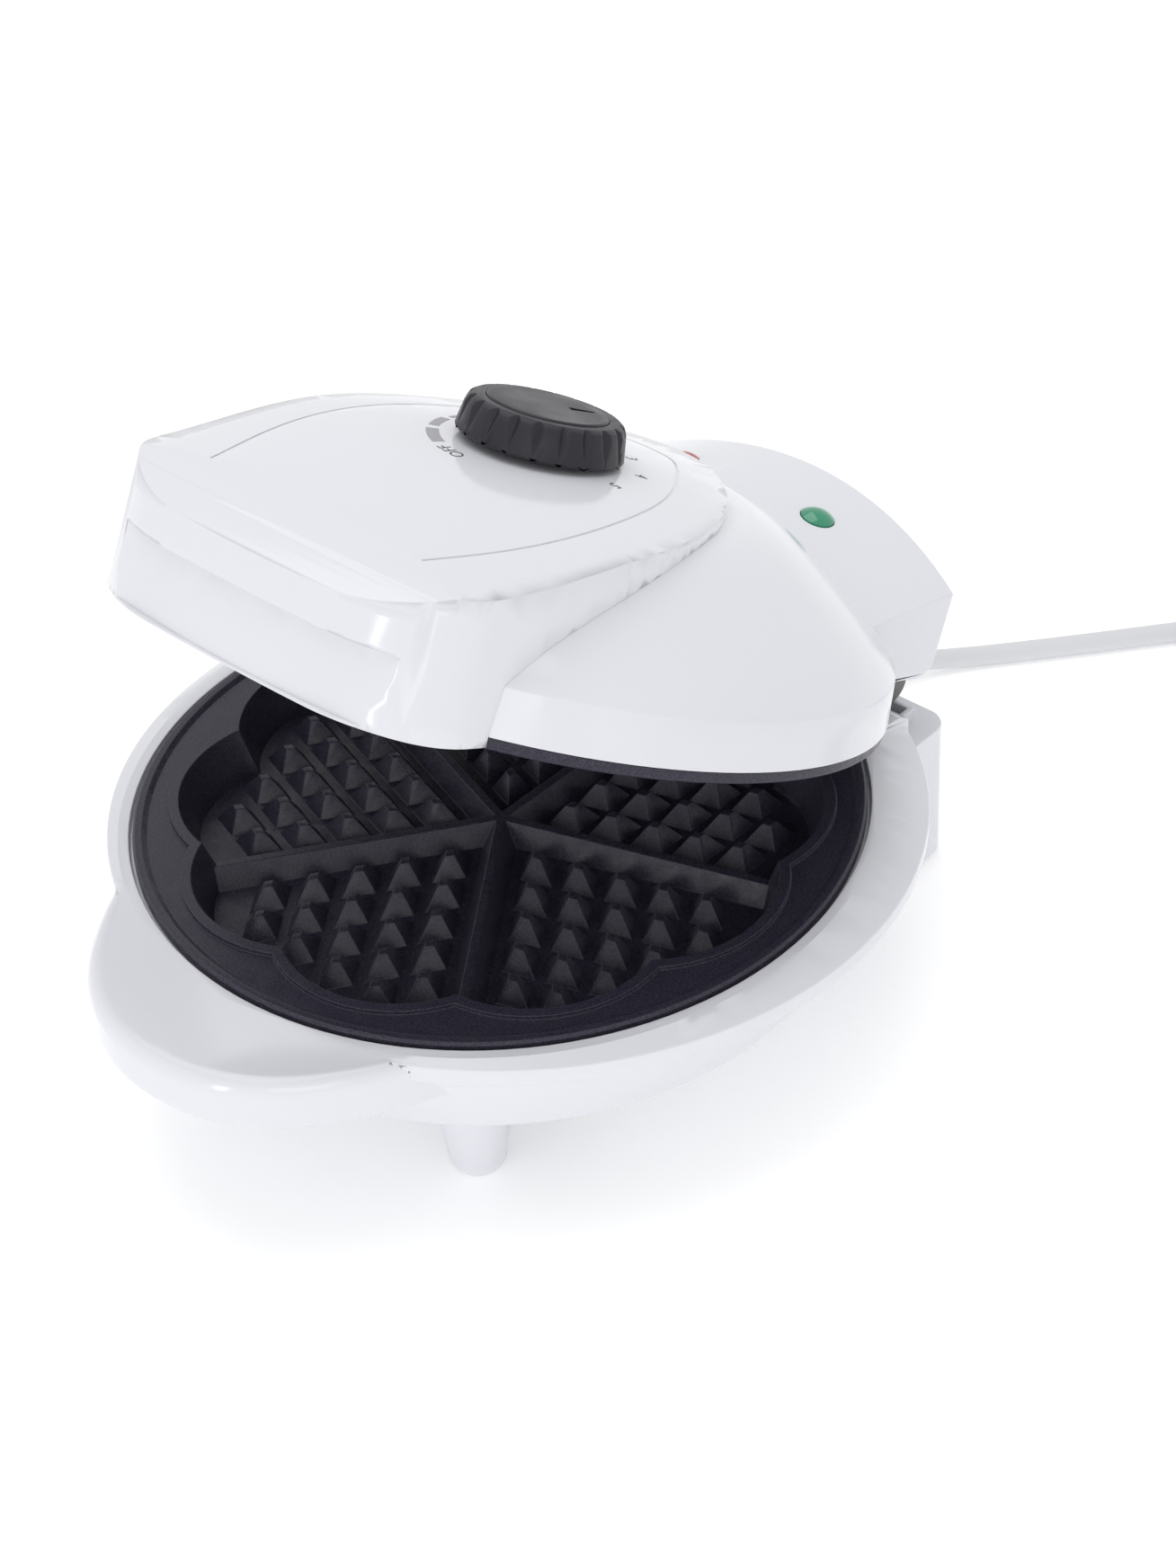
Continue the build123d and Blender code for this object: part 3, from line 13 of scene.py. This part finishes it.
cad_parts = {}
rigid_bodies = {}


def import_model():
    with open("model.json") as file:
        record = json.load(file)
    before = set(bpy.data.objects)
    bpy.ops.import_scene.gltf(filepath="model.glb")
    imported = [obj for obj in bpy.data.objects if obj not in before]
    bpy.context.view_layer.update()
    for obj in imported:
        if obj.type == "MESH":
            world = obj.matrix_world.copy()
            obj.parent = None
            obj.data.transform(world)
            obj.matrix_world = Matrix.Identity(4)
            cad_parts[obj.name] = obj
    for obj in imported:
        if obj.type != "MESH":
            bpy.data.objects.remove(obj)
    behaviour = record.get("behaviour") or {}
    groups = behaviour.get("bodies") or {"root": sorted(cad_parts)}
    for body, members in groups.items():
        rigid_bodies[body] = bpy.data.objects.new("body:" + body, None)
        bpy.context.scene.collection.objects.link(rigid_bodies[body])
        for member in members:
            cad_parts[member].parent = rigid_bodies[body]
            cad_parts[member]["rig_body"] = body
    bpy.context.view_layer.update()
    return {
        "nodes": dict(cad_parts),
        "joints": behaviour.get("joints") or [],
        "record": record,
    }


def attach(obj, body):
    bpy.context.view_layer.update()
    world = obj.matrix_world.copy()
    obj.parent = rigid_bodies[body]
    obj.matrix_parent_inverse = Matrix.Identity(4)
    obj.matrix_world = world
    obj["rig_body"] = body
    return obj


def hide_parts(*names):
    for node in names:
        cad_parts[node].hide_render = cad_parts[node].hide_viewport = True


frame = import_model()
nodes = frame["nodes"]
MM = 0.001

# The lid stands open by this angle about its hinge, as the joint's lower limit says
hinge = next(joint for joint in frame["joints"] if joint["name"] == "lid_hinge")
hinge_line = Vector(hinge["pos_m"])
rest_angle = radians(hinge["range_deg"][0])
plate_height = 60 * MM
knob_y = -10.9 * MM


def on_lid(x, y, z):
    """A point of the closed lid, over the plates' parting plane, carried to the open pose."""
    opening = Matrix.Rotation(rest_angle, 3, "X")
    return hinge_line + opening @ (Vector((x, y, plate_height + z)) - hinge_line)


lid_up = on_lid(0, 0, 1) - on_lid(0, 0, 0)
lid_back = on_lid(0, 1, 0) - on_lid(0, 0, 0)


# Materials


def linear(hex_colour):
    """An sRGB hex colour as linear light, with full opacity."""
    values = [int(hex_colour[i : i + 2], 16) / 255 for i in (1, 3, 5)]
    return tuple(v / 12.92 if v <= 0.04045 else ((v + 0.055) / 1.055) ** 2.4 for v in values) + (1.0,)


def add_node(material, kind, inputs=None, **settings):
    """Adds a node; each input is a value, or the socket that feeds it."""
    tree = material.node_tree
    made = tree.nodes.new(kind)
    for name, value in settings.items():
        setattr(made, name, value)
    for name, value in (inputs or {}).items():
        if isinstance(value, bpy.types.NodeSocket):
            tree.links.new(value, made.inputs[name])
        else:
            made.inputs[name].default_value = value
    return made


def new_material(name, colour, roughness, **shader):
    """A material with its shader's own sockets set, ready for patterns."""
    material = bpy.data.materials.new(name)
    material.use_nodes = True
    material.node_tree.nodes.clear()
    inputs = {"Base Color": linear(colour), "Roughness": roughness}
    inputs.update({name.replace("_", " "): value for name, value in shader.items()})
    surface = add_node(material, "ShaderNodeBsdfPrincipled", inputs)
    add_node(material, "ShaderNodeOutputMaterial", {"Surface": surface.outputs[0]})
    return material, surface


def feed(material, socket, source):
    """Links a pattern's output to a shader's input."""
    material.node_tree.links.new(source, socket)


def noise(material, size, detail=2.0):
    """Noise whose patches are about size metres across, fixed to the piece."""
    place = add_node(material, "ShaderNodeTexCoord")
    return add_node(
        material,
        "ShaderNodeTexNoise",
        {"Vector": place.outputs["Object"], "Scale": 1 / size, "Detail": detail},
    ).outputs["Fac"]


def bump(material, surface, height, depth):
    """Raises the surface by a pattern of the given depth in metres."""
    relief = add_node(material, "ShaderNodeBump", {"Height": height, "Distance": depth})
    feed(material, surface.inputs["Normal"], relief.outputs[0])


def spread(material, source, low, high):
    """Maps a pattern onto a range of values."""
    return add_node(
        material,
        "ShaderNodeMapRange",
        {"Value": source, "From Min": 0.3, "From Max": 0.7, "To Min": low, "To Max": high},
    ).outputs[0]


def glossy_abs(name, colour, roughness):
    # ABS from a polished mould: a clear gloss over faint waviness, a few millimetres across
    material, surface = new_material(name, colour, roughness, IOR=1.53)
    bump(material, surface, noise(material, 6 * MM), 0.015 * MM)
    handling = noise(material, 25 * MM)
    dulled = spread(material, handling, roughness * 0.85, roughness * 1.2)
    feed(material, surface.inputs["Roughness"], dulled)
    return material


def textured_plastic(name, colour, roughness, grain=0.5):
    # Plastic from a spark-eroded mould: fine grain, in millimetres, that dulls the highlights
    material, surface = new_material(name, colour, roughness, IOR=1.42)
    bump(material, surface, noise(material, grain * MM, 3.0), 0.04 * MM)
    wear = noise(material, 8 * MM)
    feed(material, surface.inputs["Roughness"], spread(material, wear, roughness * 0.9, roughness * 1.12))
    return material


def nonstick_coating(name):
    # Sprayed PTFE on cast aluminium: near black, satin, with a fine sparkle from the spray's grain
    material, surface = new_material(name, "#25232E", 0.32, IOR=1.36)
    grain = noise(material, 0.55 * MM, 3.0)
    bump(material, surface, grain, 0.05 * MM)
    shades = add_node(
        material,
        "ShaderNodeMix",
        {"Factor": spread(material, grain, 0.0, 1.0), 6: linear("#201E29"), 7: linear("#403D4C")},
        data_type="RGBA",
    )
    feed(material, surface.inputs["Base Color"], shades.outputs[2])
    feed(material, surface.inputs["Roughness"], spread(material, noise(material, 5 * MM), 0.27, 0.4))
    return material


def clear_lens(name, colour):
    # Dyed polycarbonate: light passes, and the dome keeps a sharp highlight
    material, surface = new_material(
        name, colour, 0.06, IOR=1.58, Transmission_Weight=0.35, Coat_Weight=0.5, Coat_Roughness=0.03
    )
    feed(material, surface.inputs["Roughness"], spread(material, noise(material, 2 * MM), 0.05, 0.12))
    return material


def bright_metal(name, colour, roughness, grain=0.8):
    # Rolled or plated metal: bright, with fine streaks that spread the highlight
    material, surface = new_material(name, colour, roughness, Metallic=1.0)
    grip = noise(material, grain * MM, 4.0)
    feed(material, surface.inputs["Roughness"], spread(material, grip, roughness * 0.8, roughness * 1.3))
    bump(material, surface, noise(material, grain * MM, 4.0), 0.01 * MM)
    return material


def flexible_pvc(name, colour):
    # Extruded PVC: a soft sheen with the sheath's slight ripple
    material, surface = new_material(name, colour, 0.38, IOR=1.52)
    bump(material, surface, noise(material, 3 * MM), 0.03 * MM)
    feed(material, surface.inputs["Roughness"], spread(material, noise(material, 12 * MM), 0.34, 0.45))
    return material


def printing_ink(name, colour):
    # Pad-printed ink: flat and matt, a little thin in places
    material, surface = new_material(name, colour, 0.5)
    feed(material, surface.inputs["Roughness"], spread(material, noise(material, 0.4 * MM), 0.45, 0.6))
    return material


white_abs = glossy_abs("white_abs_polished", "#E0E1E7", 0.14)
coated_plate = nonstick_coating("ptfe_on_cast_aluminium")
charcoal_abs = textured_plastic("charcoal_abs_textured", "#1D1D26", 0.42)
charcoal_disc = textured_plastic("charcoal_abs_fine", "#1F1F28", 0.4, 0.3)
red_lens = clear_lens("red_polycarbonate", "#C4101C")
green_lens = clear_lens("green_polycarbonate", "#0FA57A")
pale_grey_plastic = textured_plastic("pale_grey_pbt", "#C9C9CF", 0.45)
hinge_plastic = textured_plastic("grey_brown_bakelite", "#6A6765", 0.4)
dark_rubber = textured_plastic("dark_rubber_moulded", "#1B1B1E", 0.6, 0.4)
zinc_steel = bright_metal("zinc_plated_steel", "#C4C6C8", 0.28)
rolled_aluminium = bright_metal("rolled_aluminium", "#DFE0E2", 0.2, 2.0)
heater_steel = bright_metal("oxidised_heater_steel", "#7A756F", 0.45)
terminal_nylon = textured_plastic("cream_nylon_moulded", "#E2DECF", 0.45)
neon_glass = clear_lens("neon_bulb_glass", "#F2E6D8")
silicone_sleeve = flexible_pvc("silicone_sleeve", "#CFCFD0")
lead_pvc = flexible_pvc("pale_grey_pvc", "#D9DADD")
plug_pvc = flexible_pvc("pale_grey_plug_pvc", "#D6D7DB")
nickel_brass = bright_metal("nickelled_brass", "#CFC7AE", 0.22)
dark_ink = printing_ink("dark_grey_ink", "#4A4A50")
pale_ink = printing_ink("mid_grey_ink", "#A3A3A8")

finishes = {
    "housing_white": white_abs,
    "plate_black": coated_plate,
    "knob_charcoal": charcoal_abs,
    "inlay_charcoal": charcoal_disc,
    "lens_red": red_lens,
    "lens_green": green_lens,
    "cover_grey": pale_grey_plastic,
    "hinge_grey": hinge_plastic,
    "buffer_rubber": dark_rubber,
    "steel_bright": zinc_steel,
    "reflector_sheet": rolled_aluminium,
    "element_sheath": heater_steel,
    "thermostat_metal": zinc_steel,
    "fuse_metal": zinc_steel,
    "terminal_plastic": terminal_nylon,
    "bulb_glass": neon_glass,
    "link_sleeve": silicone_sleeve,
    "lead_grey": lead_pvc,
    "plug_grey": plug_pvc,
    "pin_brass": nickel_brass,
}
slot_of = {entry["node"]: entry["material_slot"] for entry in frame["record"]["subparts"]}


# Pieces


def add_piece(name, mesh, material):
    """Links a mesh as a piece at the origin, with one material."""
    mesh.materials.clear()
    mesh.materials.append(material)
    piece = bpy.data.objects.new(name, mesh)
    bpy.context.scene.collection.objects.link(piece)
    return piece


def finish_node(node, rounding, crease):
    """A smooth copy of a node, its edges broken by any rounding given, standing in for the node."""
    mesh = nodes[node].data.copy()
    form = bmesh.new()
    form.from_mesh(mesh)
    bmesh.ops.remove_doubles(form, verts=form.verts, dist=0.002 * MM)
    if rounding:
        bmesh.ops.dissolve_limit(form, angle_limit=radians(0.5), verts=form.verts, edges=form.edges)
    form.to_mesh(mesh)
    form.free()
    mesh.shade_smooth()
    mesh.set_sharp_from_angle(angle=radians(crease))
    piece = add_piece(node + "_finish", mesh, finishes[slot_of[node]])
    if rounding:
        bevel = piece.modifiers.new("broken_edges", "BEVEL")
        bevel.width = rounding
        bevel.segments = 2
        bevel.limit_method = "ANGLE"
        bevel.angle_limit = radians(crease)
        bevel.use_clamp_overlap = False
        bevel.harden_normals = True
    else:
        shading = piece.modifiers.new("even_shading", "WEIGHTED_NORMAL")
        shading.keep_sharp = True
    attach(piece, nodes[node]["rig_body"])
    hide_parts(node)


# Edge roundings of the pieces that show, by how sharp the mould or casting leaves them. The cap has
# none, because its fine panel line is narrower than one, and only its steeper edges stay sharp.
roundings = {
    "lower_housing": 0.4 * MM,
    "base_cover": 0.4 * MM,
    "block_cover": 0.3 * MM,
    "upper_housing": 0.4 * MM,
    "lid_cap": 0.0,
    "lower_plate": 0.25 * MM,
    "upper_plate": 0.25 * MM,
    "control_knob": 0.25 * MM,
    "knob_inlay": 0.15 * MM,
    "hump_cover": 0.25 * MM,
    "hinge_knuckles": 0.4 * MM,
    "plug": 0.5 * MM,
    "strain_relief": 0.3 * MM,
}
usual_crease = 30
creases = {"lid_cap": 48}
for node, material_slot in slot_of.items():
    if node in roundings:
        finish_node(node, roundings[node], creases.get(node, usual_crease))
    else:
        nodes[node].data.materials.clear()
        nodes[node].data.materials.append(finishes[material_slot])


# Dial print round the knob, laid on the cap
cap_mesh = nodes["lid_cap"].data
cap_surface = BVHTree.FromPolygons(
    [vertex.co for vertex in cap_mesh.vertices],
    [tuple(face.vertices) for face in cap_mesh.polygons],
)
print_thickness = 0.05 * MM


def on_cap(x, y):
    """The point of the cap's top over a place on the closed lid."""
    found = cap_surface.ray_cast(on_lid(x, y, 90 * MM), -lid_up)
    return found[0]


def dial_place(radius, angle):
    """A place round the knob, with the angle counted from the lid's right side toward the hinge."""
    return radius * cos(radians(angle)), knob_y + radius * sin(radians(angle))


def lay_on_cap(mesh, origin, across, up):
    """Turns a flat mesh into the cap's surface at a place, and presses each point onto it."""
    normal = across.cross(up).normalized()
    for vertex in mesh.vertices:
        point = origin + across * vertex.co.x + up * vertex.co.y
        found = cap_surface.ray_cast(point + normal * 20 * MM, -normal)
        vertex.co = found[0] + normal * print_thickness


def dial_word(name, text, size, radius, angle, turn):
    """A printed word or numeral whose reading direction is turned from the lid's right side."""
    curve = bpy.data.curves.new(name, "FONT")
    curve.body = text
    curve.size = size
    curve.align_x = "CENTER"
    curve.align_y = "CENTER"
    writing = bpy.data.objects.new(name, curve)
    mesh = bpy.data.meshes.new_from_object(writing)
    bpy.data.objects.remove(writing)
    side = Vector((1, 0, 0))
    across = side * cos(radians(turn)) + lid_back * sin(radians(turn))
    up = lid_back * cos(radians(turn)) - side * sin(radians(turn))
    lay_on_cap(mesh, on_cap(*dial_place(radius, angle)), across, up)
    piece = add_piece(name, mesh, dark_ink)
    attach(piece, "lid")


def heat_arc(name, inner, outer, start, sweep, material):
    """One segment of the printed heat scale, as a curved strip."""
    steps = 8
    form = bmesh.new()
    rows = []
    for step in range(steps + 1):
        angle = start + sweep * step / steps
        rows.append([form.verts.new((*dial_place(radius, angle), 0)) for radius in (inner, outer)])
    for here, there in zip(rows, rows[1:]):
        form.faces.new((here[0], here[1], there[1], there[0]))
    mesh = bpy.data.meshes.new(name)
    form.to_mesh(mesh)
    form.free()
    centre = on_lid(0, 0, 50 * MM)
    lay_on_cap(mesh, centre, Vector((1, 0, 0)), lid_back)
    piece = add_piece(name, mesh, material)
    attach(piece, "lid")


word_size = 5.0 * MM
dial_radius = 27.5 * MM
dial_word("dial_off", "OFF", word_size, dial_radius, -101, 169)
for numeral, angle in (("1", 132), ("2", 100), ("3", 66), ("4", 32), ("5", -2)):
    dial_word(f"dial_numeral_{numeral}", numeral, word_size, dial_radius, angle, angle - 90)
heat_segments = ((-116, -24, 3.4), (-146, -20, 2.8), (-171, -24, 1.6))
for count, (start, sweep, width) in enumerate(heat_segments, 1):
    inner = dial_radius - 0.5 * width * MM
    heat_arc(f"heat_arc_{count}", inner, inner + width * MM, start, sweep, pale_ink)


# Mains lead
# Its listed route, then two layers of coil, then down to the plug, as in the part's source
cord_radius = 3.2 * MM
cord_route = [
    (0, 143.9, 12.5),
    (0, 158, 12.5),
    (3.2, 175.5, 6.5),
    (14, 192.3, 3.2),
    (35.6, 217.3, 3.2),
    (57, 243.5, 3.2),
    (78.1, 268.8, 3.2),
]
route = [Vector(point) * MM for point in cord_route]
coil_turns = 2.25
coil_climb = 0.5
coil_pitch = 7.0 * MM
coil_layer = 7.0 * MM
coil_radius = 35.0 * MM
points_per_turn = 14
heading = (route[-1] - route[-2]).normalized()
entry_angle = atan2(heading.x, -heading.y) + atan(coil_pitch / (2 * pi * coil_radius))
coil_entry = route[-1] + heading * 2 * cord_radius
coil_middle = coil_entry - coil_radius * Vector((cos(entry_angle), sin(entry_angle), 0))


def coil_point(turn):
    """The coil's middle line after a number of turns, clockwise from above, up and back out."""
    angle = entry_angle - 2 * pi * turn
    radius = coil_radius - coil_pitch * min(turn, coil_turns - turn)
    climb = min(max((turn - coil_turns / 2) / coil_climb + 0.5, 0), 1)
    rise = coil_layer * climb**2 * (3 - 2 * climb)
    return coil_middle + Vector((radius * cos(angle), radius * sin(angle), rise))


coil_steps = round(points_per_turn * coil_turns)
route += [coil_point(coil_turns * step / coil_steps) for step in range(coil_steps + 1)]
coil_heading = (coil_point(coil_turns) - coil_point(coil_turns - 1e-4)).normalized()
coil_exit = coil_point(coil_turns) + 2 * cord_radius * coil_heading
tail_lead = 13 * MM
tail_end = Vector((171.0, 190.372, 6.735)) * MM
route += [
    coil_exit + tail_lead * coil_heading,
    Vector((164.5, 244.7, 5.4)) * MM,
    Vector((169.5, 225.5, 3.2)) * MM,
    Vector((171, 207, 3.2)) * MM,
    tail_end,
]


def lead_curve(name, points):
    """A round lead on one smooth line."""
    curve = bpy.data.curves.new(name, "CURVE")
    curve.dimensions = "3D"
    line = curve.splines.new("NURBS")
    line.points.add(len(points) - 1)
    for control, point in zip(line.points, points):
        control.co = (*point, 1)
    line.order_u = 3
    line.use_endpoint_u = True
    line.resolution_u = 6
    curve.bevel_depth = cord_radius
    curve.bevel_resolution = 5
    curve.use_fill_caps = True
    curve.materials.append(lead_pvc)
    lead = bpy.data.objects.new(name, curve)
    bpy.context.scene.collection.objects.link(lead)
    return lead


mains_lead = lead_curve("mains_lead", route)
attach(mains_lead, "base")
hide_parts("power_cord", "cord_coil", "cord_tail")


# Stage, light and camera


def white_floor():
    """A pale table that shows as white to the camera and keeps the object's soft shadow."""
    material, surface = new_material(
        "white_table", "#FFFFFF", 0.8, Emission_Color=linear("#FFFFFF"), Emission_Strength=0.2
    )
    grain = noise(material, 30 * MM)
    feed(material, surface.inputs["Roughness"], spread(material, grain, 0.65, 0.75))
    size = 3.0
    form = bmesh.new()
    outline = ((-size, -size), (size, -size), (size, size), (-size, size))
    corners = [form.verts.new((x, y, 0)) for x, y in outline]
    form.faces.new(corners)
    mesh = bpy.data.meshes.new("table_top")
    form.to_mesh(mesh)
    form.free()
    table = add_piece("table_top", mesh, material)


white_floor()


def soft_lamp(name, place, aim, size, power):
    """A square soft box at a place, aimed at a point."""
    light = bpy.data.lights.new(name, "AREA")
    light.shape = "RECTANGLE"
    light.size, light.size_y = size
    light.energy = power
    lamp = bpy.data.objects.new(name, light)
    turn = (Vector(aim) - Vector(place)).to_track_quat("-Z", "Y")
    lamp.matrix_world = Matrix.LocRotScale(Vector(place), turn, None)
    bpy.context.scene.collection.objects.link(lamp)


soft_lamp("soft_box_over", (-0.25, 0.1, 1.15), (0, 0, 0.08), (1.0, 1.0), 3.8)
soft_lamp("soft_box_right", (1.1, -0.35, 0.55), (0, 0, 0.08), (0.35, 1.0), 0.3)
soft_lamp("soft_box_front", (0.8, -1.0, 0.7), (0, 0, 0.08), (0.6, 0.6), 1.6)
soft_lamp("strip_box_front", (0.1, -1.2, 0.28), (0, 0, 0.12), (0.12, 0.5), 1.2)

world = bpy.data.worlds.new("studio")
bpy.context.scene.world = world
world.use_nodes = True
world.node_tree.nodes.clear()
rays = add_node(world, "ShaderNodeLightPath")
shown = add_node(
    world,
    "ShaderNodeMath",
    {0: rays.outputs["Is Camera Ray"], 1: rays.outputs["Is Glossy Ray"]},
    operation="MAXIMUM",
)
seen = add_node(
    world,
    "ShaderNodeMath",
    {0: shown.outputs[0], 1: rays.outputs["Is Transmission Ray"]},
    operation="MAXIMUM",
)
strength = add_node(
    world,
    "ShaderNodeMapRange",
    {"Value": seen.outputs[0], "To Min": 0.74, "To Max": 1.0},
)
sky = add_node(world, "ShaderNodeBackground", {"Color": linear("#FFFFFF"), "Strength": strength.outputs[0]})
add_node(world, "ShaderNodeOutputWorld", {"Surface": sky.outputs[0]})

bpy.context.scene.view_settings.view_transform = "Standard"


def photo_camera():
    """A camera where the photograph was taken, found from the plate's rim, hearts and the open lid."""
    azimuth, elevation, roll = radians(44.444), radians(37.907), radians(-3.6)
    back = Vector((sin(azimuth) * cos(elevation), -cos(azimuth) * cos(elevation), sin(elevation)))
    level = Vector((cos(azimuth), sin(azimuth), 0))
    above = back.cross(level)
    right = cos(roll) * level + sin(roll) * above
    up = cos(roll) * above - sin(roll) * level
    data = bpy.data.cameras.new("photo_camera")
    data.sensor_fit = "VERTICAL"
    data.sensor_height = 36
    photo_height = 1744
    focal_length_px = 3388
    data.lens = focal_length_px * data.sensor_height / photo_height
    data.clip_start = 0.05
    camera = bpy.data.objects.new("photo_camera", data)
    place = Vector((0.47544, -0.45005, 0.57074))
    camera.matrix_world = Matrix.Translation(place) @ Matrix((right, up, back)).transposed().to_4x4()
    bpy.context.scene.collection.objects.link(camera)
    bpy.context.scene.camera = camera


photo_camera()
